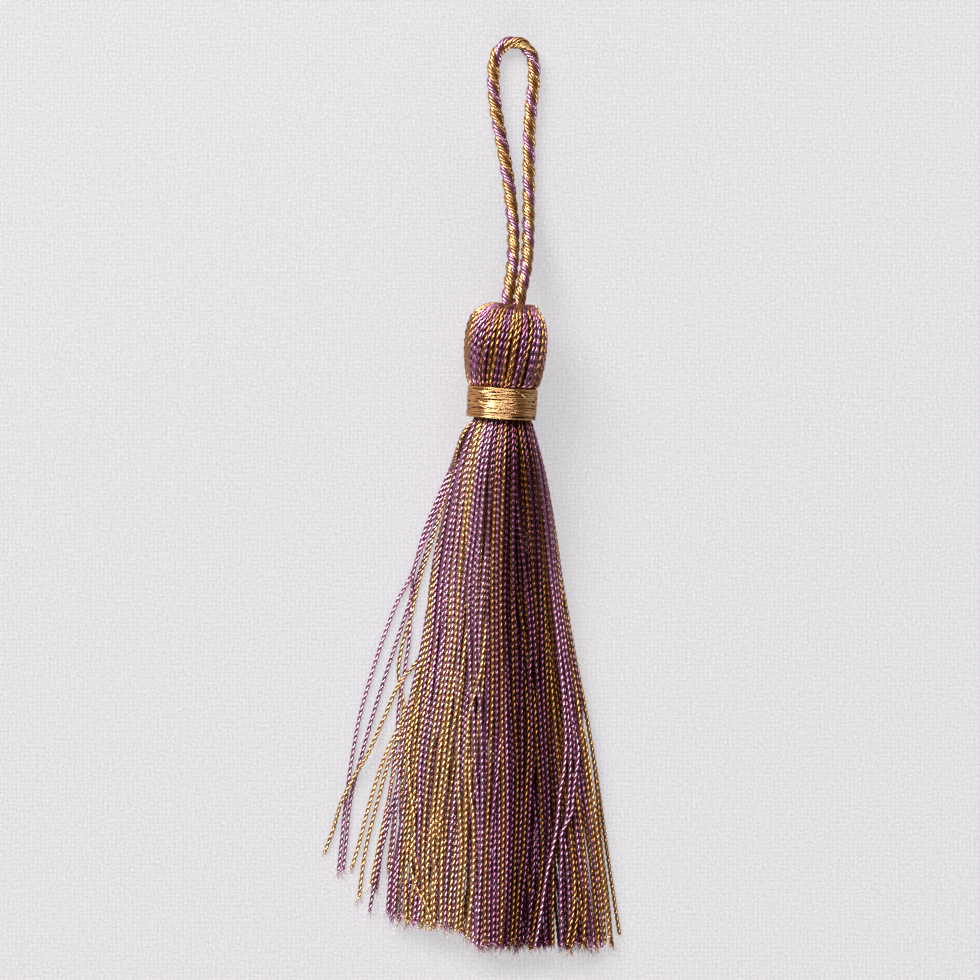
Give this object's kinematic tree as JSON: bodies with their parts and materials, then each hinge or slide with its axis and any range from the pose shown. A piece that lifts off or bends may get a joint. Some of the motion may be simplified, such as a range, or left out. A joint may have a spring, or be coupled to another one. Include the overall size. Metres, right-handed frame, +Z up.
{
  "type": "tassel",
  "caption": "Yarn tassel with a round head, a wound neck, a spread skirt of loose twisted strands and a looped cord to hang it by.",
  "frame": {"origin": "on the surface the tassel lies on, under the middle of its bounding box", "axes": "+Y along the tassel towards the loop, +Z up from the surface, +X to the right of the skirt seen from above"},
  "size_m": [0.0355, 0.1093, 0.0095],
  "materials": {
    "yarn": "soft two-ply viscose yarn, plum, lilac and old gold strands mixed",
    "thread": "fine glossy old gold thread, wound",
    "cord": "laid cord of two old gold strands and one plum strand"
  },
  "bodies": {
    "root": {"head_and_skirt": "yarn", "neck_band": "thread", "hanging_loop": "cord"}
  },
  "joints": []
}
